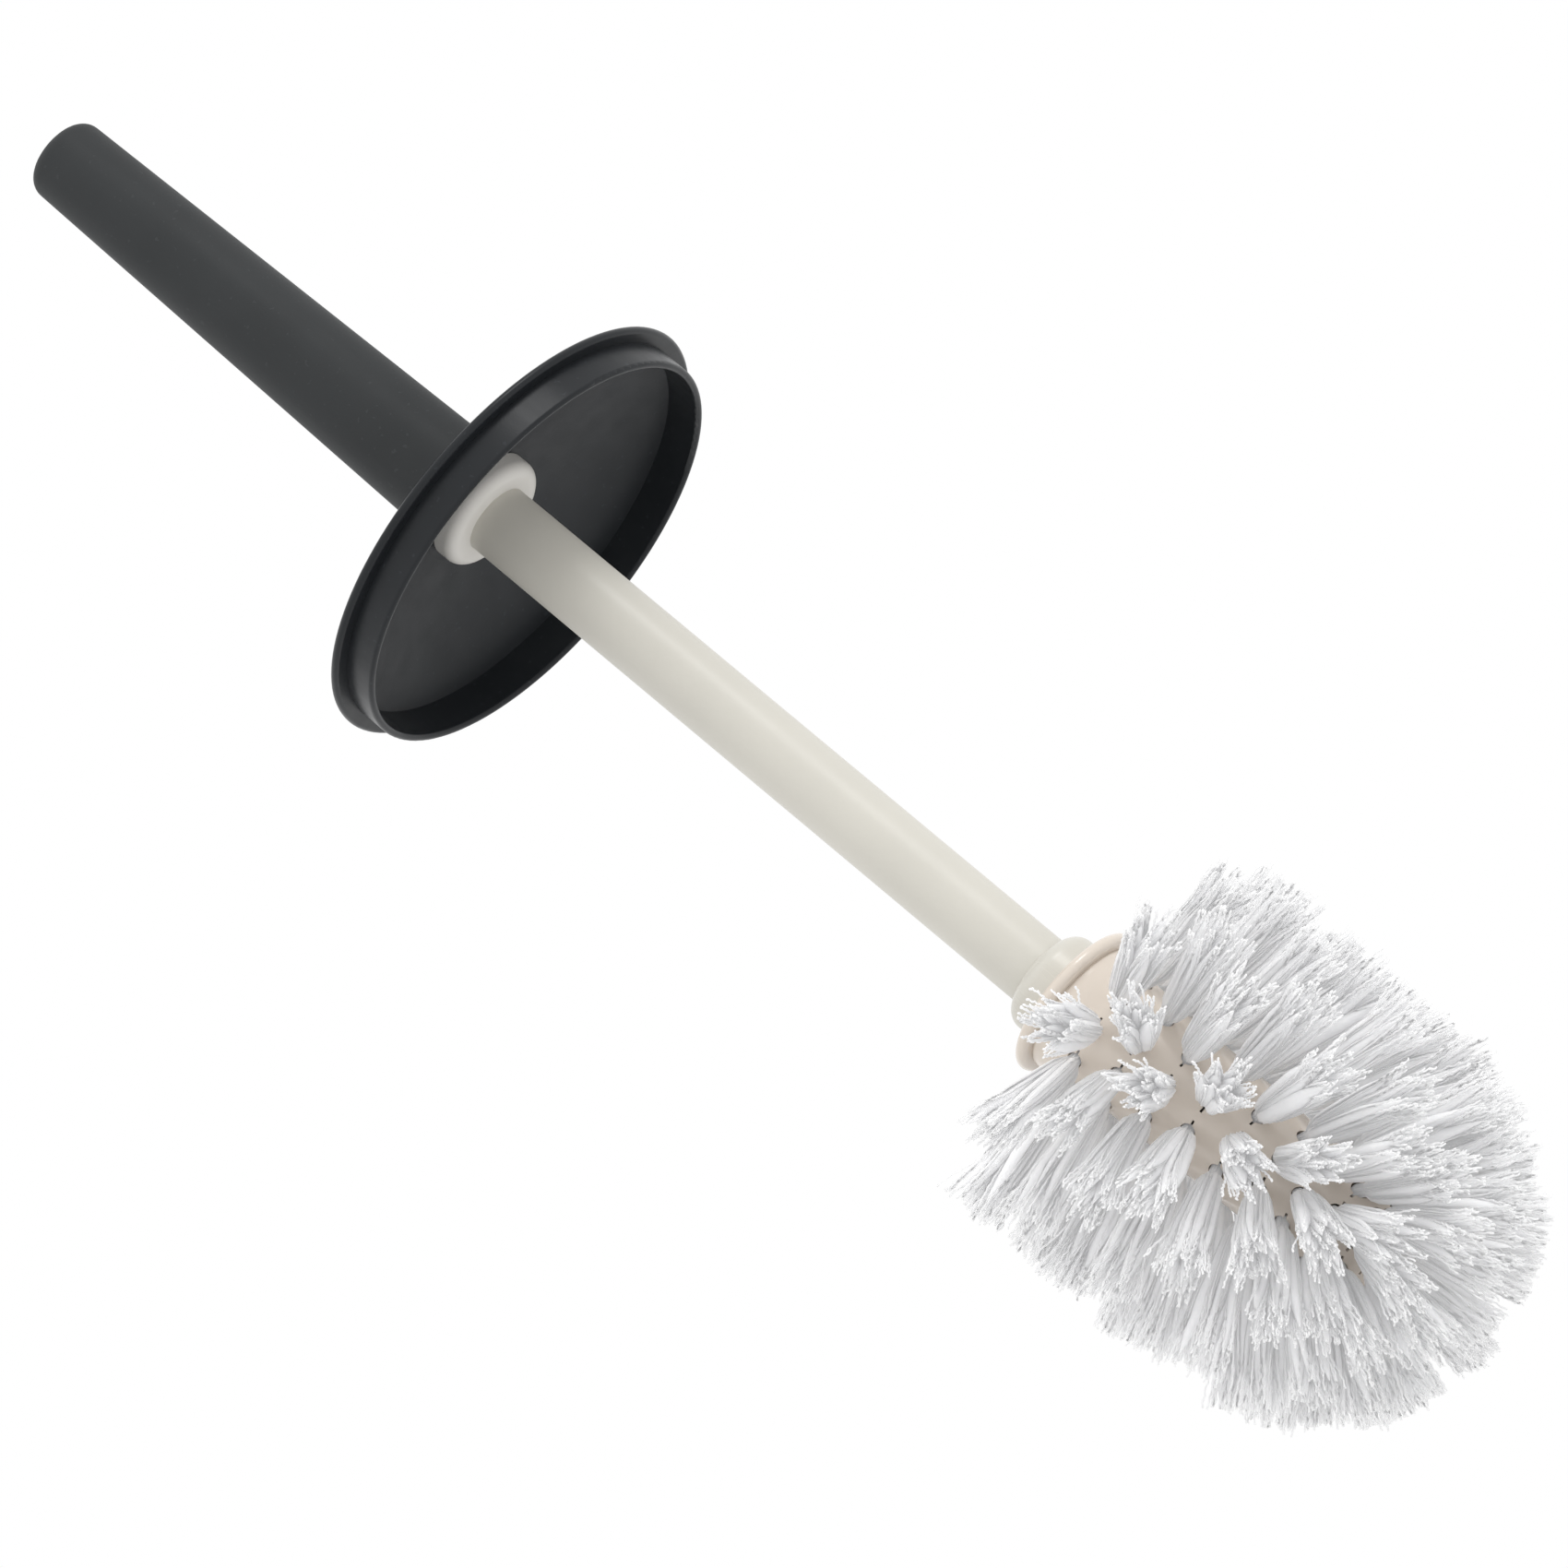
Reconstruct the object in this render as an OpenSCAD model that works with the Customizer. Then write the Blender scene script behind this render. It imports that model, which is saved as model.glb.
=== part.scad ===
// Toilet brush with a lid that closes its pot. All sizes are in millimetres.
// The axis is Z: the handle points up, the brush head hangs down, and Z = 0 is the underside of
// the lid's flange, where it sits on the pot's rim.

/* [Lid] */
// Outer diameter of the flange that rests on the pot's rim
flange_d = 96.4; // [94.4:0.5:100.4]
// Thickness of the flange, whose edge is fully round
flange_t = 1.8; // [1.6:0.1:2.4]
// Outer diameter of the skirt that plugs into the pot
skirt_d = 90.4; // [88.4:0.5:91.4]
// Depth of the skirt below the flange
skirt_h = 6.5; // [5:0.1:12]
// Wall of the skirt
skirt_wall = 1.6; // [1.4:0.1:2.2]
// Wall of the dome
dome_wall = 1.6; // [1.2:0.1:2]
// Height of the dome's top above the flange's underside
dome_top = 11.5; // [10:0.5:16]

/* [Handle] */
// Length of the handle above the lid
handle_l = 116; // [90:0.5:160]
// Diameter of the handle where it meets the lid
handle_base_d = 22.3; // [21.8:0.1:24]
// Diameter of the handle just under its round end
handle_top_d = 17.4; // [16:0.1:20]
// Radius of the edge round the handle's end
handle_edge_r = 3; // [2:0.5:5]
// Wall of the handle's upper part
handle_wall = 1.8; // [1.4:0.1:2.2]
// Length of the threaded insert in the handle's base
insert_l = 16; // [14:1:20]

/* [Screw] */
// Rise of the thread in one turn
thread_lead = 4; // [3.6:0.2:5]
// Whole turns of thread on the spigot
thread_turns = 3; // [2:1:3]
// Crest diameter of the spigot's thread
thread_d = 11.6; // [11:0.1:11.8]

/* [Rod] */
// Outer diameter of the rod
rod_d = 14.4; // [14:0.1:16]
// Wall of the rod
rod_wall = 1.6; // [1.2:0.1:2.4]
// Height of the collar's lower face, which is above the flange's underside
collar_z = 5; // [4:0.1:6]
// Diameter of the collar that clamps the lid
collar_d = 24.2; // [22:0.1:28]
// Depth below the flange's underside of the brush head's seat
head_seat = 146.7; // [130:0.1:170]
// Height of the round shoulder that covers the rod's lower end
shoulder_h = 7.4; // [6:0.1:10]
// Diameter of that shoulder
shoulder_d = 20.9; // [20:0.1:22]

/* [Brush head] */
// Diameter of the head's flange
head_flange_d = 31.8; // [29.8:0.5:33.8]
// Thickness of the head's flange
head_flange_t = 2.6; // [2:0.1:3.2]
// Diameter of the core at the first ring of tufts
core_d = 24.2; // [23.4:0.1:25]
// Diameter of the core where its round end starts
core_end_d = 21.2; // [21:0.1:22]
// Diameter over the bristles
brush_d = 84; // [80:1:88]
// Distance from the head's seat to the first ring of tufts
first_ring = 11.1; // [11:0.1:13]
// Distance between rings of tufts
ring_pitch = 8.7; // [8:0.1:9.5]
// Distance between the last three of those rings
last_pitch = 7.3; // [7:0.1:8.5]
// Diameter of a tuft hole
tuft_hole_d = 3.2; // [2.8:0.1:3.3]
// Lean of the first ring of tufts towards the head's end, in degrees
first_lean = 8; // [4:1:10]
// Lean of the last straight ring of tufts, in degrees
last_lean = 40; // [34:1:42]

/* [Hidden] */
$fn = 96;

// How the pieces fit each other
running_gap = 0.1;
tuft_gap = 0.05;
root_gap = 0.02;
boss_gap = 0.15;

// Lid
flange_r = flange_d / 2;
skirt_r = skirt_d / 2;
skirt_in_r = skirt_r - skirt_wall;
hub_r = 13.4;
boss_r = 6.2;
lid_hole_r = boss_r + boss_gap;
hub_under = dome_top - dome_wall;
dome_edge_z = flange_t - 0.4;
// The dome's underside is part of a sphere through the skirt's top and the hub's edge
dome_z = (pow(hub_r, 2) + pow(hub_under, 2) - pow(skirt_in_r, 2) - pow(dome_edge_z, 2))
    / (2 * (hub_under - dome_edge_z));
dome_r = sqrt(pow(hub_r, 2) + pow(hub_under - dome_z, 2));

// Handle
handle_base_r = handle_base_d / 2;
handle_top_r = handle_top_d / 2;
handle_end = dome_top + handle_l;
handle_side_top = handle_end - handle_edge_r;
insert_r = 9;
insert_gap = 0.6;
insert_z = dome_top + insert_gap;
insert_top = insert_z + insert_l;
insert_key = [3, 1.6, insert_l - 4];
insert_key_out = 0.7;

// Screw
thread_r = thread_d / 2;
spigot_r = thread_r - 0.9;
thread_play = 0.3;
insert_bore_r = thread_r + thread_play;
ridge_base = 1.5;
ridge_crest = 0.8;
ridge_root = 0.4;
thread_steps = 24;
thread_z = insert_z + 1.6;
thread_l = thread_lead * thread_turns;
spigot_top = thread_z + thread_l + 1.6;

// Rod and its fittings
rod_r = rod_d / 2;
rod_in_r = rod_r - rod_wall;
collar_r = collar_d / 2;
collar_edge_r = 2.4;
socket_l = 3;
stub_l = 12;
stub_chamfer = 1;
core_hole_r = 2.8;
shoulder_r = shoulder_d / 2;
shoulder_z = -head_seat + shoulder_h;
plug_r = 5.4;
plug_l = 22;
key_w = 2;
key_out = 1.2;
key_l = 7;

// Brush head
head_flange_r = head_flange_d / 2;
core_r = core_d / 2;
core_end_r = core_end_d / 2;
bell_r = 13.6;
bell_l = 8;
bell_steps = 10;
groove_w = 0.5;
straight_rings = 8;
ring_count = 10;
bell_z = -head_seat - head_flange_t - groove_w;
first_ring_z = -head_seat - first_ring;
even_steps = straight_rings - 3;
function ring_z(i) = first_ring_z - ring_pitch * min(i, even_steps) - last_pitch * max(0, i - even_steps);
dome_edge_r = 7.4;
last_ring_to_dome = 3.2;
dome_start_z = ring_z(straight_rings - 1) - last_ring_to_dome;
core_end_z = dome_start_z - dome_edge_r;
hole_r = tuft_hole_d / 2;
tuft_r = hole_r - tuft_gap;
hole_depth = 3.8;
end_hole_depth = 3.1;
tip_r = 6;
last_tip_r = 5.2;

// Anchor plates, driven in across the tuft holes
anchor_t = 0.35;
anchor_half = 2.1;
anchor_h = 2;
anchor_lift = 0.35;
slit_t = 0.45;
slit_half = 2.7;

// Each ring of tufts: [count, first angle, lean, length, tip radius, hole depth, r, z, neck].
// The neck is the length over which the tuft is still as wide as its hole, because it leans.
first_angle = 9.5;
ring_twist = 0.55;
ring_stagger = 15.3;
last_ring_turn = -6;
lean_power = 1.3;
last_tip_in = 9.9;
tip_in_power = 2.6;
tip_in_from = 3;
neck_extra = 0.15;
function ring_angle(i) = first_angle + ring_twist * i + (i % 2) * ring_stagger;
function ring_lean(i) = first_lean + (last_lean - first_lean) * pow(i / (straight_rings - 1), lean_power);
// How much nearer to the axis a ring's tips are than those of the first ring
function tips_in(i) =
    last_tip_in * pow(max(0, i - tip_in_from) / (straight_rings - 1 - tip_in_from), tip_in_power);
function neck(off_square) = hole_r * tan(off_square) + neck_extra;
function core_r_at(z) =
    core_r + (core_end_r - core_r) * (first_ring_z - z) / (first_ring_z - dome_start_z);
function straight_ring(i) =
    let (last = i == straight_rings - 1 ? 1 : 0, r = core_r_at(ring_z(i)), lean = ring_lean(i))
    [ring_count, ring_angle(i) + last * last_ring_turn, lean,
     (brush_d / 2 - tips_in(i) - r) / cos(lean), i < straight_rings - 2 ? tip_r : last_tip_r,
     hole_depth, r, ring_z(i), neck(lean)];
// place is how far round the edge of the core's end a ring is, in degrees
function end_ring(count, angle, place, lean, length, tip) =
    [count, angle, lean, length, tip, end_hole_depth,
     core_end_r - dome_edge_r * (1 - cos(place)), dome_start_z - dome_edge_r * sin(place), neck(lean - place)];
end_angle = ring_angle(straight_rings);
RINGS = concat(
    [for (i = [0 : straight_rings - 1]) straight_ring(i)],
    [end_ring(ring_count, end_angle, 22, 52, 25.5, 4.8),
     end_ring(ring_count / 2, end_angle + 180 / ring_count, 58, 68, 24, 4.6),
     [1, 0, 90, 23.5, 4, end_hole_depth, 0, core_end_z, neck_extra]]);

CHARCOAL = [0.27, 0.275, 0.28];
LID_GREY = [0.2, 0.212, 0.228];
CREAM = [0.87, 0.86, 0.81];
BEIGE = [0.86, 0.82, 0.77];
BRISTLE_WHITE = [0.95, 0.95, 0.95];
DARK_STEEL = [0.2, 0.19, 0.18];

// A disc that touches both sides of a corner from within and so rounds it, in a section
module edge(corner_x, corner_z, r, to_x, to_z) {
    translate([corner_x + to_x * r, corner_z + to_z * r]) circle(r = r);
}

// A rectangle in a section, from its lower and upper corners
module block(x0, z0, x1, z1) {
    translate([x0, z0]) square([x1 - x0, z1 - z0]);
}

// A thread: a helical ridge from root_r to crest_r, inwards or outwards, that fades at both ends
module helical_ridge(root_r, crest_r, z, turns) {
    steps = turns * thread_steps;
    outward = crest_r > root_r;
    function height(i) = min(1, min(i, steps - i) / 3);
    function section(i) =
        let (r = root_r + (crest_r - root_r) * (0.3 + 0.7 * height(i)))
        [[root_r, -ridge_base / 2], [r, -ridge_crest / 2], [r, ridge_crest / 2], [root_r, ridge_base / 2]];
    points = [for (i = [0 : steps]) for (p = section(i))
        let (a = 360 * i / thread_steps)
        [p[0] * cos(a), p[0] * sin(a), z + thread_lead * i / thread_steps + p[1]]];
    sides = [for (i = [0 : steps - 1]) for (k = [0 : 3])
        let (a = 4 * i + k, b = 4 * i + (k + 1) % 4)
        each [[a, b, b + 4], [a, b + 4, a + 4]]];
    ends = [[3, 2, 1], [3, 1, 0], [4 * steps, 4 * steps + 1, 4 * steps + 2],
            [4 * steps, 4 * steps + 2, 4 * steps + 3]];
    faces = concat(sides, ends);
    polyhedron(points, outward ? faces : [for (f = faces) [f[2], f[1], f[0]]]);
}

// Puts its children at every tuft of a ring, with Z out of the core and Y round it
module at_tufts(ring) {
    for (k = [0 : ring[0] - 1])
        rotate([0, 0, ring[1] + 360 * k / ring[0]])
            translate([ring[6], 0, ring[7]])
                rotate([0, 90 + ring[2], 0]) children();
}

module lid() color(LID_GREY) rotate_extrude() {
    // dome
    intersection() {
        difference() {
            translate([0, dome_z]) circle(r = dome_r + dome_wall, $fn = 720);
            translate([0, dome_z]) circle(r = dome_r, $fn = 720);
        }
        block(hub_r - 1, dome_edge_z, skirt_in_r + 0.8, dome_top);
    }
    // flat hub, clamped between the handle and the collar
    block(lid_hole_r, hub_under, hub_r, dome_top);
    // flange with a round edge
    block(skirt_in_r, 0, flange_r - flange_t / 2, flange_t);
    edge(flange_r, flange_t / 2, flange_t / 2, -1, 0);
    // skirt with a round rim
    block(skirt_in_r, skirt_wall / 2 - skirt_h, skirt_r, flange_t);
    edge(skirt_r, -skirt_h, skirt_wall / 2, -1, 1);
}

module insert_keys(gap) {
    for (k = [0 : 3]) rotate([0, 0, 90 * k])
        translate([insert_r - insert_key[0] + insert_key_out, -insert_key[1] / 2 - gap, insert_z + 2])
            cube([insert_key[0] + gap, insert_key[1] + 2 * gap, insert_key[2]]);
}

module handle_grip() color(CHARCOAL) difference() {
    rotate_extrude() {
        polygon([[0, dome_top], [handle_base_r, dome_top], [handle_top_r, handle_side_top],
                 [handle_top_r - handle_edge_r, handle_end], [0, handle_end]]);
        edge(handle_top_r, handle_end, handle_edge_r, -1, -1);
    }
    translate([0, 0, dome_top - 1]) cylinder(r = insert_r, h = insert_top - dome_top + 1.5);
    translate([0, 0, insert_top]) cylinder(
        r1 = insert_r - 0.4, r2 = handle_top_r - handle_wall,
        h = handle_side_top - insert_top - 1);
    insert_keys(0);
}

module handle_insert() color(CREAM) {
    difference() {
        union() {
            translate([0, 0, insert_z]) cylinder(r = insert_r, h = insert_l);
            insert_keys(0);
        }
        translate([0, 0, insert_z - 1]) cylinder(r = insert_bore_r, h = insert_l + 2);
    }
    intersection() {
        helical_ridge(insert_bore_r + ridge_root, spigot_r + thread_play,
                      thread_z - thread_lead / 2, thread_turns);
        translate([0, 0, insert_z]) cylinder(r = insert_r - 1, h = insert_l);
    }
}

module upper_fitting() color(CREAM) {
    difference() {
        union() {
            rotate_extrude() {
                // collar with a round lower edge
                block(0, collar_z, collar_r - collar_edge_r, hub_under);
                block(0, collar_z + collar_edge_r, collar_r, hub_under);
                edge(collar_r, collar_z, collar_edge_r, -1, 1);
                // boss that centres the lid, and the spigot above it
                block(0, hub_under, boss_r, dome_top - 0.1);
                polygon([[0, dome_top - 0.2], [spigot_r, dome_top - 0.2], [spigot_r, spigot_top - 1],
                         [spigot_r - 1, spigot_top], [0, spigot_top]]);
                // stub in the rod
                polygon([[0, collar_z - stub_l], [rod_in_r - stub_chamfer, collar_z - stub_l],
                         [rod_in_r, collar_z - stub_l + stub_chamfer], [rod_in_r, hub_under], [0, hub_under]]);
            }
            helical_ridge(spigot_r - ridge_root, thread_r, thread_z, thread_turns);
        }
        // socket for the rod's end
        difference() {
            translate([0, 0, collar_z - 1]) cylinder(r = rod_r, h = socket_l + 1);
            translate([0, 0, collar_z - 2]) cylinder(r = rod_in_r, h = socket_l + 3);
        }
        translate([0, 0, collar_z - stub_l - 1]) cylinder(r = core_hole_r, h = spigot_top - collar_z + stub_l - 3);
    }
}

module rod_tube() color(CREAM) {
    low = shoulder_z - socket_l;
    high = collar_z + socket_l;
    translate([0, 0, low]) difference() {
        cylinder(r = rod_r, h = high - low);
        translate([0, 0, -1]) cylinder(r = rod_in_r, h = high - low + 2);
    }
}

module head_keys(gap) {
    for (k = [0 : 3]) rotate([0, 0, 45 + 90 * k])
        translate([0, -key_w / 2 - gap, -head_seat - key_l - gap])
            cube([plug_r + key_out + gap, key_w + 2 * gap, key_l + gap]);
}

module lower_fitting() color(CREAM) difference() {
    union() {
        rotate_extrude() {
            // shoulder with a round top, which ends on the rod's wall
            intersection() {
                block(0, -head_seat, shoulder_r, shoulder_z);
                union() {
                    block(0, -head_seat, shoulder_r, shoulder_z - (shoulder_r - rod_r));
                    translate([rod_r, shoulder_z - (shoulder_r - rod_r)]) circle(r = shoulder_r - rod_r);
                    block(0, -head_seat, rod_r, shoulder_z);
                }
            }
            // stub in the rod
            polygon([[0, -head_seat], [rod_in_r, -head_seat], [rod_in_r, shoulder_z + stub_l - stub_chamfer],
                     [rod_in_r - stub_chamfer, shoulder_z + stub_l], [0, shoulder_z + stub_l]]);
            // plug in the brush head
            polygon([[0, -head_seat], [plug_r, -head_seat], [plug_r, 1 - head_seat - plug_l],
                     [plug_r - 1, -head_seat - plug_l], [0, -head_seat - plug_l]]);
        }
        head_keys(0);
    }
    difference() {
        translate([0, 0, shoulder_z - socket_l]) cylinder(r = rod_r, h = socket_l + 1);
        translate([0, 0, shoulder_z - socket_l - 1]) cylinder(r = rod_in_r, h = socket_l + 3);
    }
    translate([0, 0, 2 - head_seat - plug_l]) cylinder(r = core_hole_r, h = head_seat + shoulder_z + plug_l + stub_l);
}

module tuft_hole(depth) {
    translate([0, 0, -depth]) cylinder(r = hole_r, h = depth + 2);
    // slit cut by the anchor on its way in, widest at the surface
    rotate([90, 0, 90]) translate([0, 0, -slit_t / 2]) linear_extrude(slit_t)
        polygon([[-anchor_half, -depth], [anchor_half, -depth], [slit_half, 0.5], [-slit_half, 0.5]]);
}

// Bell shoulder, tapered core and the flat of its end
module core_section() {
    polygon(concat(
        [[0, -head_seat - 1], [bell_r - groove_w, -head_seat - 1], [bell_r - groove_w, bell_z + 2 * groove_w]],
        [for (i = [0 : bell_steps]) let (u = i / bell_steps)
            [core_r + (bell_r - core_r) * (1 + cos(180 * u)) / 2, bell_z - bell_l * u]],
        [[core_end_r, dome_start_z], [core_end_r - dome_edge_r, core_end_z], [0, core_end_z]]));
}

module brush_core() color(BEIGE) difference() {
    union() {
        rotate_extrude() core_section();
        // flange with a round edge
        rotate_extrude() {
            block(0, -head_seat - head_flange_t, head_flange_r - head_flange_t / 2, -head_seat);
            edge(head_flange_r, -head_seat - head_flange_t / 2, head_flange_t / 2, -1, 0);
        }
        // round edge of the end
        rotate_extrude() intersection() {
            edge(core_end_r, core_end_z, dome_edge_r, -1, 1);
            block(0.5, core_end_z - 1, core_end_r + 1, dome_start_z + dome_edge_r / 2);
        }
    }
    // socket for the plug and its keys
    translate([0, 0, -head_seat - plug_l - 1]) cylinder(r = plug_r + running_gap, h = plug_l + 2);
    head_keys(running_gap);
    for (ring = RINGS) at_tufts(ring) tuft_hole(ring[5]);
}

module anchor_plate(depth, gap) {
    translate([-anchor_t / 2 - gap, -anchor_half, anchor_lift - depth - gap])
        cube([anchor_t + 2 * gap, 2 * anchor_half, anchor_h + 2 * gap]);
}

// A folded bunch of filaments: a round root in its hole, looped under the anchor, then a spreading cone
module tuft(length, tip, depth, neck) {
    difference() {
        rotate_extrude()
            polygon([[0, root_gap - depth], [tuft_r, root_gap - depth], [tuft_r, neck], [tip, length], [0, length]]);
        anchor_plate(depth, tuft_gap);
    }
}

module tuft_ring(i) color(BRISTLE_WHITE) {
    ring = RINGS[i];
    at_tufts(ring) tuft(ring[3], ring[4], ring[5], ring[8]);
}

module tuft_anchors() color(DARK_STEEL)
    for (ring = RINGS) at_tufts(ring) anchor_plate(ring[5], 0);

lid();
handle_grip();
handle_insert();
upper_fitting();
rod_tube();
lower_fitting();
brush_core();
tuft_ring(0);  // tuft_ring_1
tuft_ring(1);  // tuft_ring_2
tuft_ring(2);  // tuft_ring_3
tuft_ring(3);  // tuft_ring_4
tuft_ring(4);  // tuft_ring_5
tuft_ring(5);  // tuft_ring_6
tuft_ring(6);  // tuft_ring_7
tuft_ring(7);  // tuft_ring_8
tuft_ring(8);  // end_tufts_outer
tuft_ring(9);  // end_tufts_inner
tuft_ring(10);  // end_tuft_centre
tuft_anchors();
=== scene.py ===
import math

import bmesh
import bpy
import numpy as np
from mathutils import Matrix, Vector


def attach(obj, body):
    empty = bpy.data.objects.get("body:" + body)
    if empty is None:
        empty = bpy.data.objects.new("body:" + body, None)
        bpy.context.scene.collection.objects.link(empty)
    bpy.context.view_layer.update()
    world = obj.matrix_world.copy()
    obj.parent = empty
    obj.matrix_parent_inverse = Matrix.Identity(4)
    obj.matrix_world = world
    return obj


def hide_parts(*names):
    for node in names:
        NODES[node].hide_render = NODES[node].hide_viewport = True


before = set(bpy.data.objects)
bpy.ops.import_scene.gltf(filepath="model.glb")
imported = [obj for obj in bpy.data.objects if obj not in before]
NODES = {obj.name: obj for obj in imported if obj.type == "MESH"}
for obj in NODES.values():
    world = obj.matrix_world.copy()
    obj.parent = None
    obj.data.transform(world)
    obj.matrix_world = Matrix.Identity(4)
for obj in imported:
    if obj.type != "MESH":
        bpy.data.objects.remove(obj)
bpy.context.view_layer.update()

MM = 0.001
SCENE = bpy.context.scene
END_TUFT_NODES = ["end_tufts_outer", "end_tufts_inner", "end_tuft_centre"]
TUFT_NODES = [f"tuft_ring_{i}" for i in range(1, 9)] + END_TUFT_NODES


# ---------------------------------------------------------------- camera

LENS = 200
CLIP_END = 50
CAMERA_DISTANCE = 1.65
CAMERA_RISE = math.radians(20.69)   # the camera looks up from below the lid
CAMERA_ROLL = math.radians(50.11)   # the handle leans to the picture's upper left
AIM = Vector((-3.7, 0, -75.4)) * MM


def make_camera():
    forward = Vector((0, math.cos(CAMERA_RISE), math.sin(CAMERA_RISE)))
    level = Vector((1, 0, 0))
    above = level.cross(forward)
    right = level * math.cos(CAMERA_ROLL) - above * math.sin(CAMERA_ROLL)
    up = level * math.sin(CAMERA_ROLL) + above * math.cos(CAMERA_ROLL)
    camera = bpy.data.objects.new("camera", bpy.data.cameras.new("camera"))
    camera.data.lens = LENS
    camera.data.clip_end = CLIP_END
    turn = Matrix((right, up, -forward)).transposed().to_4x4()
    camera.matrix_world = Matrix.Translation(AIM - forward * CAMERA_DISTANCE) @ turn
    SCENE.collection.objects.link(camera)
    SCENE.camera = camera


make_camera()


# ---------------------------------------------------------------- materials

CHARCOAL = (0.033, 0.0355, 0.037)
LID_GREY = (0.0135, 0.0155, 0.018)
CREAM = (0.62, 0.60, 0.54)
# painted light: the rod's cream made lighter for the collar, standing in for the brighter light that falls on
# it
CREAM_PAINTED_LIGHTER = (0.72, 0.70, 0.66)
BEIGE = (0.69, 0.615, 0.535)
NYLON = (0.91, 0.91, 0.92)
STEEL = (0.035, 0.03, 0.026)

NOISE_LOW = 0.3                # nearly all of a noise lies between these two
NOISE_HIGH = 0.7
SPECK_FROM = 0.70              # only the peaks of a noise become specks
SPECK_FULL = 0.76
ROUGH_CHANGE = 0.05
ALONG_AXIS = (1, 1, 0.12)      # draws a noise out along the brush's axis
FLOW_SHARE = 0.8               # depth of the flow lines against the grain's

MIX_FACTOR = 0                 # the sockets that a Mix node uses for colours
MIX_BASE = 6
MIX_OVER = 7
MIX_RESULT = 2


class Nodes:
    """A material's node tree, with short calls for the nodes that the materials share."""

    def __init__(self, name):
        self.material = bpy.data.materials.new(name)
        self.material.use_nodes = True
        self.tree = self.material.node_tree
        self.shader = self.tree.nodes["Principled BSDF"]
        self.place = self.tree.nodes.new("ShaderNodeTexCoord").outputs["Object"]

    def link(self, source, socket):
        self.tree.links.new(source, socket)

    def drive(self, source, name):
        """Feeds a socket of the shader."""
        self.link(source, self.shader.inputs[name])

    def set(self, **values):
        for name, value in values.items():
            self.shader.inputs[name.replace("_", " ")].default_value = value

    def stretched(self, scale):
        """The place on the object, scaled by axis: along an axis with a small scale, a noise runs long."""
        mapping = self.tree.nodes.new("ShaderNodeMapping")
        mapping.inputs["Scale"].default_value = scale
        self.link(self.place, mapping.inputs["Vector"])
        return mapping.outputs["Vector"]

    def noise(self, scale, detail=2.0, rough=0.5, place=None):
        node = self.tree.nodes.new("ShaderNodeTexNoise")
        node.inputs["Scale"].default_value = scale
        node.inputs["Detail"].default_value = detail
        node.inputs["Roughness"].default_value = rough
        self.link(place or self.place, node.inputs["Vector"])
        return node.outputs["Fac"]

    def shade(self, source, dark, light, low=NOISE_LOW, high=NOISE_HIGH):
        """The dark colour where the source is below low, and the light one where it is above high."""
        node = self.tree.nodes.new("ShaderNodeValToRGB")
        for stop, at, colour in zip(node.color_ramp.elements, (low, high), (dark, light)):
            stop.position = at
            stop.color = (*colour, 1)
        self.link(source, node.inputs["Fac"])
        return node.outputs["Color"]

    def span(self, source, to_low, to_high, low=NOISE_LOW, high=NOISE_HIGH):
        """The source's range from low to high, mapped to the range from to_low to to_high."""
        node = self.tree.nodes.new("ShaderNodeMapRange")
        for name, value in zip(("From Min", "From Max", "To Min", "To Max"), (low, high, to_low, to_high)):
            node.inputs[name].default_value = value
        self.link(source, node.inputs["Value"])
        return node.outputs["Result"]

    def weighted_sum(self, first, second, weight):
        """The first source, and the second one times its weight."""
        node = self.tree.nodes.new("ShaderNodeMath")
        node.operation = "MULTIPLY_ADD"
        factor, by, added = node.inputs
        self.link(second, factor)
        by.default_value = weight
        self.link(first, added)
        return node.outputs[0]

    def overlay(self, share, base, colour):
        """The base, with so much of the colour over it."""
        node = self.tree.nodes.new("ShaderNodeMix")
        node.data_type = "RGBA"
        self.link(share, node.inputs[MIX_FACTOR])
        self.link(base, node.inputs[MIX_BASE])
        node.inputs[MIX_OVER].default_value = (*colour, 1)
        return node.outputs[MIX_RESULT]

    def bump(self, height, depth):
        node = self.tree.nodes.new("ShaderNodeBump")
        node.inputs["Strength"].default_value = 1
        node.inputs["Distance"].default_value = depth
        self.link(height, node.inputs["Height"])
        self.drive(node.outputs["Normal"], "Normal")


def tone(colour, by):
    return tuple(c * by for c in colour)


def moulded(name, colour, rough, grain, depth, cloud, speck=None):
    """Moulded plastic: cloudy colour, fine grain in the surface, and faint lines along the mould's draw."""
    n = Nodes(name)
    clouds = n.noise(scale=45, detail=4, rough=0.55)
    base = n.shade(clouds, tone(colour, 1 - cloud), tone(colour, 1 + cloud))
    if speck:
        specks = n.span(n.noise(scale=900, detail=1, rough=0.4), 0, 1, SPECK_FROM, SPECK_FULL)
        base = n.overlay(specks, base, tone(colour, speck))
    n.drive(base, "Base Color")
    flow = n.noise(scale=160, detail=3, rough=0.6, place=n.stretched(ALONG_AXIS))
    n.drive(n.span(flow, rough - ROUGH_CHANGE, rough + ROUGH_CHANGE), "Roughness")
    grains = n.noise(scale=grain, detail=2, rough=0.6)
    n.bump(n.weighted_sum(grains, flow, FLOW_SHARE), depth)
    return n


def grip_material():
    n = moulded("soft_touch_charcoal", CHARCOAL, rough=0.60, grain=2600, depth=0.02 * MM, cloud=0.07,
                speck=1.25)
    n.set(Specular_IOR_Level=0.2)
    return n.material


def lid_material():
    n = moulded("moulded_lid_grey", LID_GREY, rough=0.34, grain=1800, depth=0.01 * MM, cloud=0.10,
                speck=1.6)
    n.set(Specular_IOR_Level=0.25)
    return n.material


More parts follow.
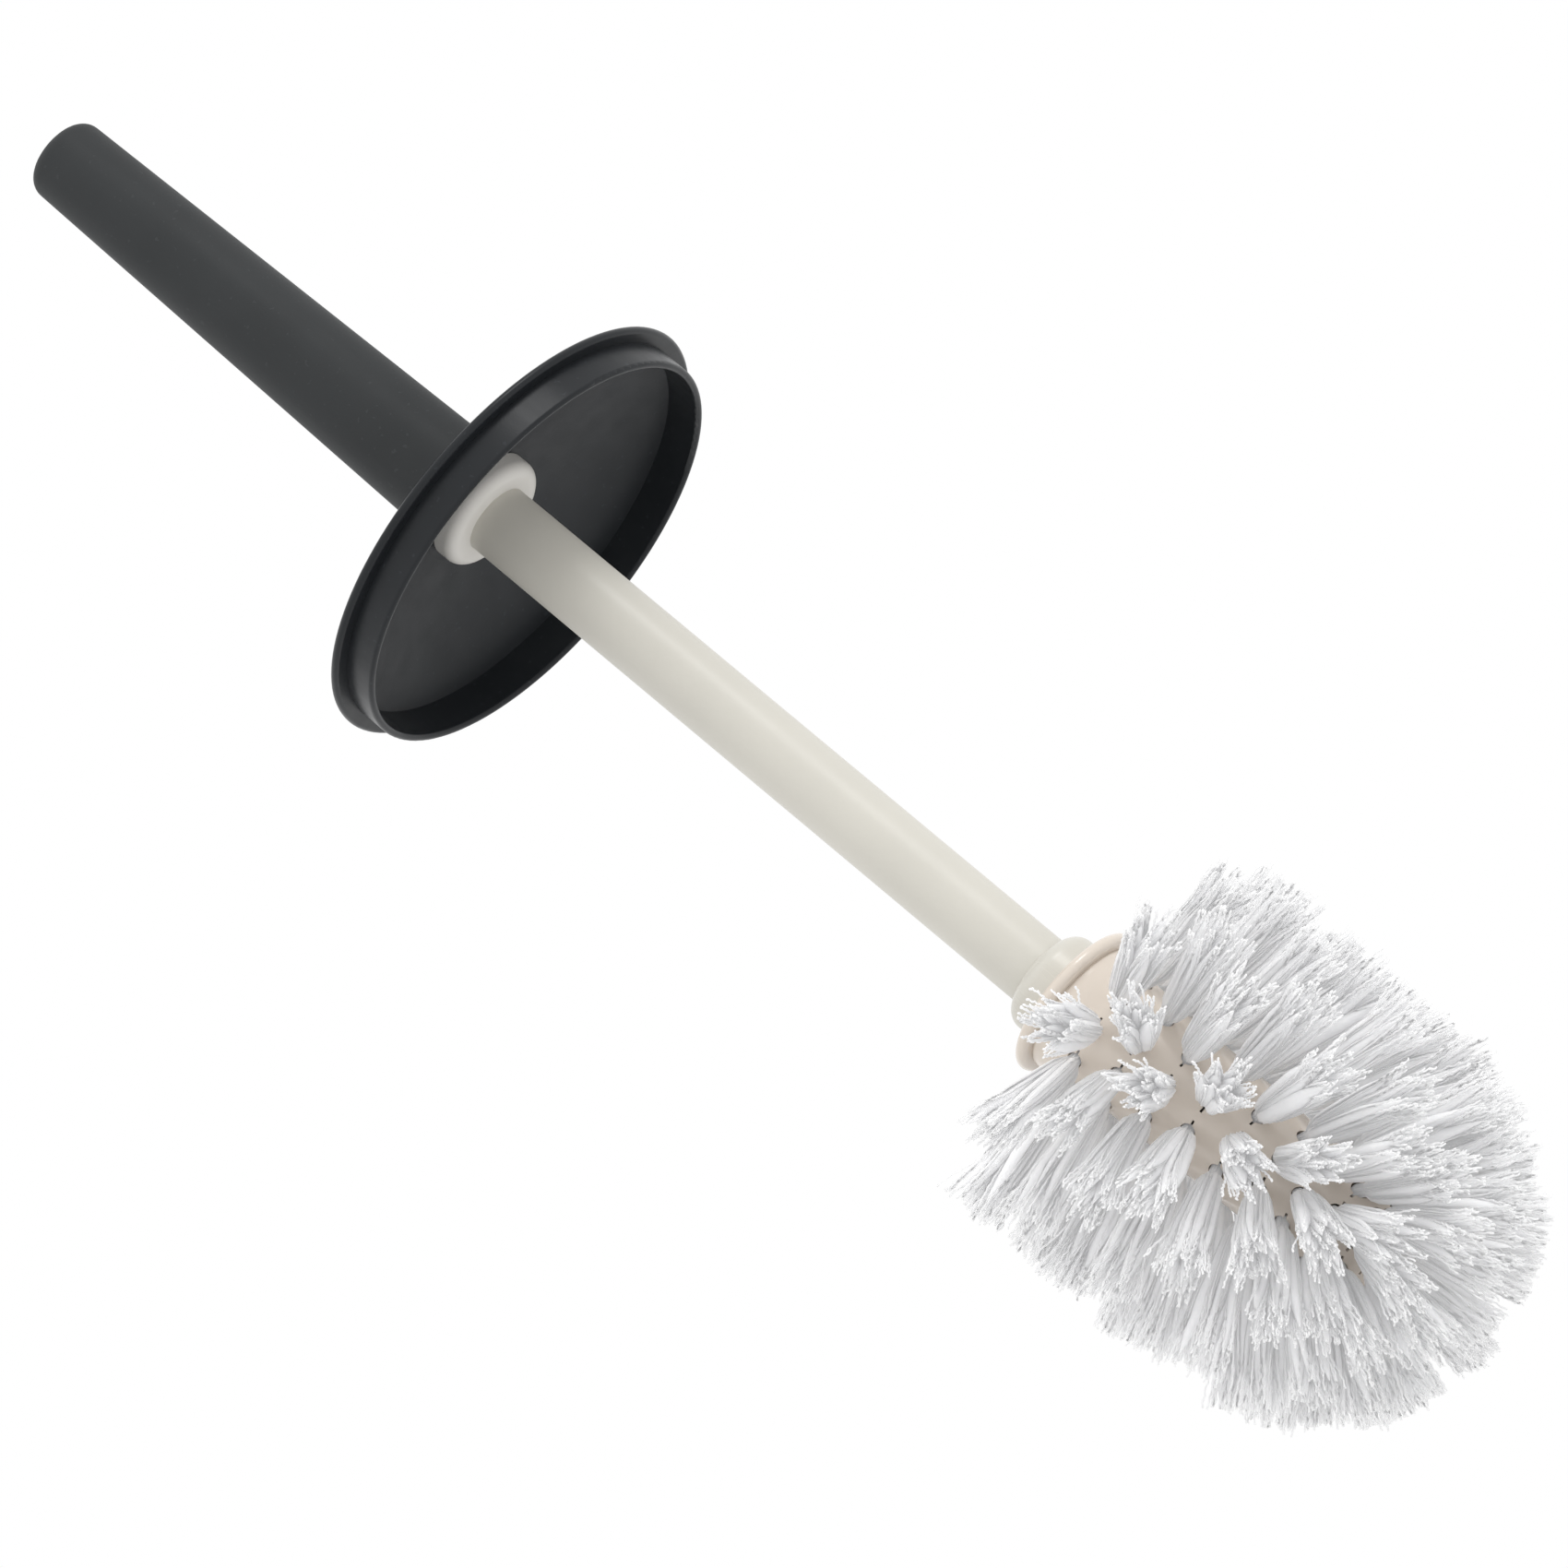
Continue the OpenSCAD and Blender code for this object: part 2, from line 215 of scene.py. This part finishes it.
def rod_material():
    n = moulded("cream_tube", CREAM, rough=0.42, grain=1500, depth=0.012 * MM, cloud=0.02)
    n.set(Specular_IOR_Level=0.4)
    return n.material


def collar_material():
    # painted light: this lighter cream stands in for the brighter light on the collar; the handle insert
    # shares it
    n = moulded("cream_fitting_painted_lighter", CREAM_PAINTED_LIGHTER, rough=0.45, grain=1500, depth=0.012 * MM, cloud=0.02)
    n.set(Specular_IOR_Level=0.4)
    return n.material


def shoulder_material():
    n = moulded("cream_shoulder", CREAM, rough=0.30, grain=1500, depth=0.01 * MM, cloud=0.02)
    n.set(Specular_IOR_Level=0.5)
    return n.material


def core_material():
    n = moulded("glossy_beige", BEIGE, rough=0.20, grain=900, depth=0.02 * MM, cloud=0.03)
    n.set(Specular_IOR_Level=0.55, Coat_Weight=0.3, Coat_Roughness=0.12)
    return n.material


def nylon_material():
    """White nylon, slightly uneven and satin. The translucent filaments pass more light on from one
    to the next than their own scattering gives, so a faint glow makes up for it."""
    n = Nodes("white_nylon")
    patches = n.noise(scale=260, detail=3, rough=0.6)
    n.drive(n.shade(patches, tone(NYLON, 0.97), tone(NYLON, 1.02)), "Base Color")
    n.drive(n.span(n.noise(scale=1400), 0.34, 0.5), "Roughness")
    n.set(Specular_IOR_Level=0.3, Subsurface_Weight=1.0, Subsurface_Scale=1.2 * MM)
    n.set(Subsurface_Radius=(1, 1, 1), Emission_Color=(1, 1, 1, 1), Emission_Strength=0.07)
    return n.material


def steel_material():
    n = Nodes("dark_wire")
    marks = n.noise(scale=1800, detail=3, rough=0.6)
    n.drive(n.shade(marks, tone(STEEL, 0.6), tone(STEEL, 1.5), low=0.35, high=0.65), "Base Color")
    n.drive(n.span(marks, 0.4, 0.6), "Roughness")
    n.set(Metallic=0.6)
    return n.material


def paint(node, material):
    for own in NODES[node].material_slots:
        own.material = material


# ---------------------------------------------------------------- filaments

# Filaments cling together in locks. A tuft is a bunch of locks, with single filaments on them. A pair
# of numbers is a random range, unless its comment says otherwise, and errors are standard deviations.
# A share is of the tuft's length beyond its root, unless something else is named.

SEED = 100
ANY_TURN = (0, 6.28)

LOCKS = 12
LOCK_SIDES = 16
LOCK_STEPS = 14
LOCK_RING = 0.74               # how far out the outer locks sit, as a share of the bunch's radius
LOCK_TURN_ERROR = 0.12         # radians
LOCK_ROOT_R = 0.68 * MM
LOCK_SWELL = 0.85 * MM         # a lock swells as soon as it leaves the hole
SWELL_OVER = 2.2 * MM
LOCK_SIZES = (0.88, 1.08)
LOCK_THINS = 0.60              # the share from which a lock thins out among its filaments
LOCK_END = 0.96                # the share at which it ends
LOCK_END_LEFT = 0.01           # what is left of its radius there
LOCK_THINS_POWER = 0.8
LOCK_FLUTES = 0.04
LOCK_SUNK = 0.6                # how far a lock reaches into the hole, as a share of its depth

SPREAD_ROOT = 0.75 * MM        # the bunch's radius in its hole
SPREAD_SWELL = 1.55 * MM       # what it grows by just outside
SPREAD_TIP = 3.6 * MM          # what it grows by towards the tips
SPREAD_SIZES = (0.85, 1.15)
SPREAD_POWER = 1.25
END_OUT = (0.8, 1.3)           # how far out a lock ends, against how far out it starts
END_ERROR = 0.10
LEAN_ERROR = 0.04              # share by which the whole bunch leans over
LEAN_POWER = 1.6
REACH_ERROR = 0.018
REACH_CHANGE = (-0.015, 0.01)
LOWERED = 0.35                 # how much lower what leans outwards ends
LOWERED_LIMIT = 0.2

FILAMENTS = 72
FILAMENT_R = 0.22 * MM
FILAMENT_SIDES = 4
FILAMENT_TURN_ERROR = 1.4      # radians
FILAMENT_REACH_ERROR = 0.02
FILAMENT_SUNK = 0.5
STRAIGHT_STEPS = 4
CRIMPED_STEPS = 18
STRAYS = 0.05                  # how many of all the filaments stray from their lock
STRAY_GAP = (1.2, 2.0)         # how far off they are at the tip, in radii of the lock
CLOSE_GAP = (0.05, 0.7)        # and how far off the others are
FLARE = 1.2 * MM               # how far the tips of the outer filaments bend outwards
FLARE_SIZES = (0.2, 1.2)
FLARE_FROM = 0.68
WANDER = (0.1, 0.45)           # slow bends of a filament, in mm
WANDER_FROM = 0.35
WANDER_TURN = (4.5, 4.1)       # radians over the length, on the two axes across the tuft
CRIMP_WAVE = 2.2 * MM
CRIMP_DEPTH = 0.15 * MM
CRIMP_SIZES = (0.5, 1.2)
CRIMP_FROM = 0.57              # the share from which the crimp shows
CRIMP_FULL = 0.9
CRIMP_TURN = (1, 0.93)         # the rate of its waves, on the two axes across the tuft

SAME_POINT = 0.001 * MM
ON_END = 0.01 * MM
NECK_R = 1.01                  # radius up to which a tuft still counts as its narrow root
STEEP = 0.1                    # a tuft nearer the axis than this slope has no level line across it


def islands(node):
    """The corner points of each separate solid in a CAD node, in a fixed order."""
    bm = bmesh.new()
    bm.from_mesh(NODES[node].data)
    bmesh.ops.remove_doubles(bm, verts=bm.verts, dist=SAME_POINT)
    bm.verts.ensure_lookup_table()
    bm.verts.index_update()
    seen = [False] * len(bm.verts)
    found = []
    for start in range(len(seen)):
        if seen[start]:
            continue
        seen[start] = True
        stack, points = [start], []
        while stack:
            vertex = bm.verts[stack.pop()]
            points.append(tuple(vertex.co))
            for edge in vertex.link_edges:
                other = edge.other_vert(vertex).index
                if not seen[other]:
                    seen[other] = True
                    stack.append(other)
        found.append(np.array(points))
    bm.free()
    return found


def tufts(node):
    """Each CAD tuft of a ring as (centre of its root's end, direction, length of its root, length beyond)."""
    found = []
    for points in islands(node):
        direction = np.linalg.svd(points - points.mean(0))[2][0]
        along = points @ direction
        ends = [points[np.abs(along - limit) < ON_END] for limit in (along.min(), along.max())]
        centres = [end.mean(0) for end in ends]
        wide = [np.linalg.norm(end - centre, axis=1).max() for end, centre in zip(ends, centres)]
        if wide[0] > wide[1]:
            centres.reverse()
        root, tip = centres
        total = np.linalg.norm(tip - root)
        direction = (tip - root) / total
        heights = (points - root) @ direction
        radii = np.linalg.norm(points - root - heights[:, None] * direction, axis=1)
        depth = heights[(radii < NECK_R * min(wide)) & (heights < total / 2)].max()
        found.append((root, direction, depth, total - depth))
    return sorted(found, key=lambda t: round(math.atan2(t[1][1], t[1][0]), 4))


def smooth(x, low, high):
    """Rises from 0 at low to 1 at high, without a kink."""
    u = np.clip((x - low) / (high - low), 0, 1)
    return u * u * (3 - 2 * u)


def turned(angle):
    """Unit vectors in the plane across a tuft."""
    return np.stack([np.cos(angle), np.sin(angle)], -1)


class Bunch:
    """One tuft in its own frame: its locks, and the filaments that lie on them and run past their points."""

    def __init__(self, rng, depth, length):
        self.rng, self.depth, self.length = rng, depth, length
        every = np.arange(LOCKS) + 0.5
        golden_turn = math.pi * (3 - math.sqrt(5))
        self.outward = every * golden_turn + rng.uniform(*ANY_TURN) + rng.normal(0, LOCK_TURN_ERROR, LOCKS)
        self.start = turned(self.outward) * (LOCK_RING * np.sqrt(every / LOCKS))[:, None]
        self.end = self.start * rng.uniform(*END_OUT, (LOCKS, 1)) + rng.normal(0, END_ERROR, (LOCKS, 2))
        self.size = rng.uniform(*LOCK_SIZES, LOCKS)
        self.reach = length * (1 + rng.normal(0, REACH_ERROR, LOCKS) + rng.uniform(*REACH_CHANGE))
        self.spread = SPREAD_TIP * rng.uniform(*SPREAD_SIZES)
        self.lean = rng.normal(0, LEAN_ERROR, 2) * length

    def swell(self, s):
        return 1 - np.exp(-s * self.length / SWELL_OVER)

    def centre(self, lock, s):
        """The middle line of a lock, across the tuft, at shares s."""
        near = SPREAD_ROOT + SPREAD_SWELL * self.swell(s)
        far = self.spread * s ** SPREAD_POWER
        return (self.start[lock][:, None] * near[None, :, None] + self.end[lock][:, None] * far[None, :, None]
                + self.lean * (s ** LEAN_POWER)[None, :, None])

    def radius(self, lock, s):
        """A lock's radius at shares s, before it is thinned."""
        return self.size[lock][:, None] * (LOCK_ROOT_R + LOCK_SWELL * self.swell(s))[None]

    def thinned(self, s):
        """How much is left of a lock's radius at shares s, because it ends in a point."""
        gone = np.clip((s - LOCK_THINS) / (LOCK_END - LOCK_THINS), 0, 1)
        return np.maximum(1 - gone, LOCK_END_LEFT) ** LOCK_THINS_POWER

    def risen(self, across, s, reach):
        """Adds the height to places across the tuft: what leans outwards ends lower."""
        out = np.linalg.norm(across, axis=-1) / self.length
        height = s * reach * np.sqrt(np.maximum(1 - out ** 2 * LOWERED, LOWERED_LIMIT))
        return np.concatenate([across, height[..., None]], -1)

    def sunk(self, lines, share):
        """Puts a first step in front of the others, down in the hole."""
        inside = lines[:, :1].copy()
        inside[..., 2] = -share * self.depth
        return np.concatenate([inside, lines], 1)

    def lock_rings(self):
        """The rings of points round each lock: (lock, step, side, across/along/out)."""
        rng, every = self.rng, np.arange(LOCKS)
        s = np.linspace(0, 1, LOCK_STEPS) * LOCK_END
        side = np.arange(LOCK_SIDES)
        flutes = 1 + rng.normal(0, LOCK_FLUTES, (LOCKS, LOCK_SIDES)) + LOCK_FLUTES * (-1) ** side
        round_it = turned(2 * math.pi * side / LOCK_SIDES)
        radius = self.radius(every, s) * self.thinned(s)[None]
        rings = (self.centre(every, s)[:, :, None]
                 + (radius[:, :, None] * flutes[:, None])[..., None] * round_it[None, None])
        rings = self.risen(rings, s[None, :, None], self.reach[:, None, None])
        return self.sunk(rings, LOCK_SUNK)

    def filament_lines(self):
        """The middle lines of the filaments: (filament, step, across/along/out)."""
        rng, count = self.rng, FILAMENTS
        lock = np.arange(count) % LOCKS
        s = np.concatenate([np.linspace(0, CRIMP_FROM, STRAIGHT_STEPS, endpoint=False),
                            np.linspace(CRIMP_FROM, 1, CRIMPED_STEPS + 1)])
        around = self.outward[lock] + rng.normal(0, FILAMENT_TURN_ERROR, count)
        stray = rng.random(count) < STRAYS
        gap = np.where(stray, rng.uniform(*STRAY_GAP, count), rng.uniform(*CLOSE_GAP, count))
        off = self.thinned(s)[None] + gap[:, None] * smooth(s, LOCK_THINS, 1)[None]
        lines = self.centre(lock, s) + (self.radius(lock, s) * off)[..., None] * turned(around)[:, None]
        flare = FLARE * rng.uniform(*FLARE_SIZES, count)[:, None] * smooth(s, FLARE_FROM, 1)[None]
        lines += flare[..., None] * self.start[lock][:, None] / LOCK_RING
        phase = rng.uniform(*ANY_TURN, (count, 4))
        wander = rng.uniform(*WANDER, (count, 1)) * MM * smooth(s, WANDER_FROM, 1)[None]
        reach = self.reach[lock] * (1 + rng.normal(0, FILAMENT_REACH_ERROR, count))
        crimp = CRIMP_DEPTH * smooth(s, CRIMP_FROM, CRIMP_FULL)[None] * rng.uniform(*CRIMP_SIZES, (count, 1))
        waves = s[None] * reach[:, None] * 2 * math.pi / CRIMP_WAVE
        for axis in (0, 1):
            lines[..., axis] += wander * np.sin(WANDER_TURN[axis] * s[None] + phase[:, [axis]])
            lines[..., axis] += crimp * np.sin(waves * CRIMP_TURN[axis] + phase[:, [axis + 2]])
        return self.sunk(self.risen(lines, s[None], reach[:, None]), FILAMENT_SUNK)


class Tubes:
    """Collects closed tubes, given as rings of points, and makes one mesh of them."""

    def __init__(self):
        self.points, self.faces, self.total = [], [], 0

    def add(self, rings):
        """Adds tubes from their rings of points: (tube, step, side, x/y/z)."""
        count, steps, sides = rings.shape[:3]
        first = self.total + (np.arange(count) * steps * sides)[:, None, None]
        row = (np.arange(steps - 1) * sides)[None, :, None]
        k = np.arange(sides)[None, None]
        a, b = first + row + k, first + row + (k + 1) % sides
        self.faces.append(np.stack([a, b, b + sides, a + sides], 3).reshape(-1, 4))
        first = first[:, :, 0]
        self.faces.append(first + np.arange(sides)[::-1])
        self.faces.append(first + (steps - 1) * sides + np.arange(sides))
        self.points.append(rings.reshape(-1, 3))
        self.total += rings.size // 3

    def mesh(self, name):
        points = np.concatenate(self.points)
        sizes = np.concatenate([np.full(len(f), f.shape[1]) for f in self.faces])
        corners = np.concatenate([f.ravel() for f in self.faces])
        mesh = bpy.data.meshes.new(name)
        mesh.vertices.add(len(points))
        mesh.vertices.foreach_set("co", points.ravel().astype(np.float32))
        mesh.loops.add(len(corners))
        mesh.loops.foreach_set("vertex_index", corners.astype(np.int32))
        mesh.polygons.add(len(sizes))
        mesh.polygons.foreach_set("loop_start", (np.cumsum(sizes) - sizes).astype(np.int32))
        mesh.polygons.foreach_set("use_smooth", np.ones(len(sizes), dtype=bool))
        mesh.update()
        mesh.validate()
        return mesh


def filament_piece(node, name, seed, material):
    """Makes the bunches of all the tufts of one CAD ring, as one piece."""
    rng = np.random.default_rng(seed)
    tubes = Tubes()
    round_it = turned(2 * math.pi * (np.arange(FILAMENT_SIDES) + 0.5) / FILAMENT_SIDES) * FILAMENT_R
    for root, direction, depth, length in tufts(node):
        across = np.cross([0, 0, 1], direction)
        slope = np.linalg.norm(across)
        across = across / slope if slope > STEEP else np.array([0.0, 1, 0])
        own = np.stack([across, np.cross(direction, across), direction])
        surface = root + direction * depth
        bunch = Bunch(rng, depth, length)
        tubes.add(surface + bunch.lock_rings() @ own)
        lines = surface + bunch.filament_lines() @ own
        tubes.add(lines[:, :, None] + (round_it @ own[:2])[None, None])
    mesh = tubes.mesh(name)
    piece = bpy.data.objects.new(name, mesh)
    mesh.materials.append(material)
    SCENE.collection.objects.link(piece)
    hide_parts(node)
    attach(piece, "head")


# ---------------------------------------------------------------- build

fittings = collar_material()
paint("handle_grip", grip_material())
paint("lid", lid_material())
paint("upper_fitting", fittings)
paint("handle_insert", fittings)
paint("rod_tube", rod_material())
paint("lower_fitting", shoulder_material())
paint("brush_core", core_material())
paint("tuft_anchors", steel_material())

nylon = nylon_material()
for i, ring_node in enumerate(TUFT_NODES):
    filament_piece(ring_node, ring_node + "_filaments", SEED + i, nylon)


# ---------------------------------------------------------------- floor and light

FLOOR_SIZE = 12
FLOOR_Z = -1.1
FLOOR_DARK = (0.80, 0.80, 0.80)
FLOOR_LIGHT = (0.84, 0.84, 0.84)
WHITE_SEEN = 1.0               # the world as the camera sees it
WHITE_LIGHT = 1.08             # the world as it lights the object


def make_floor():
    bm = bmesh.new()
    bmesh.ops.create_grid(bm, x_segments=1, y_segments=1, size=FLOOR_SIZE)
    mesh = bpy.data.meshes.new("floor")
    bm.to_mesh(mesh)
    bm.free()
    floor = bpy.data.objects.new("floor", mesh)
    floor.location.z = FLOOR_Z
    n = Nodes("pale_floor")
    n.drive(n.shade(n.noise(scale=0.6), FLOOR_DARK, FLOOR_LIGHT), "Base Color")
    n.set(Roughness=0.8)
    mesh.materials.append(n.material)
    SCENE.collection.objects.link(floor)


def area_light(name, towards, distance, size, power):
    """A round lamp that shines on the place the camera aims at."""
    light = bpy.data.lights.new(name, "AREA")
    light.shape = "DISK"
    light.size = size
    light.energy = power
    lamp = bpy.data.objects.new(name, light)
    direction = Vector(towards).normalized()
    lamp.matrix_world = (Matrix.Translation(AIM + direction * distance)
                         @ direction.to_track_quat("Z", "Y").to_matrix().to_4x4())
    SCENE.collection.objects.link(lamp)


def make_world():
    world = bpy.data.worlds.new("studio")
    world.use_nodes = True
    tree = world.node_tree
    background = tree.nodes["Background"]
    background.inputs["Color"].default_value = (1, 1, 1, 1)
    path = tree.nodes.new("ShaderNodeLightPath")
    strength = tree.nodes.new("ShaderNodeMapRange")
    strength.inputs["To Min"].default_value = WHITE_LIGHT
    strength.inputs["To Max"].default_value = WHITE_SEEN
    tree.links.new(path.outputs["Is Camera Ray"], strength.inputs["Value"])
    tree.links.new(strength.outputs["Result"], background.inputs["Strength"])
    SCENE.world = world


make_floor()
make_world()
area_light("key", towards=(0.72, -0.57, 0.38), distance=1.6, size=0.55, power=6)
SCENE.view_settings.view_transform = "Standard"
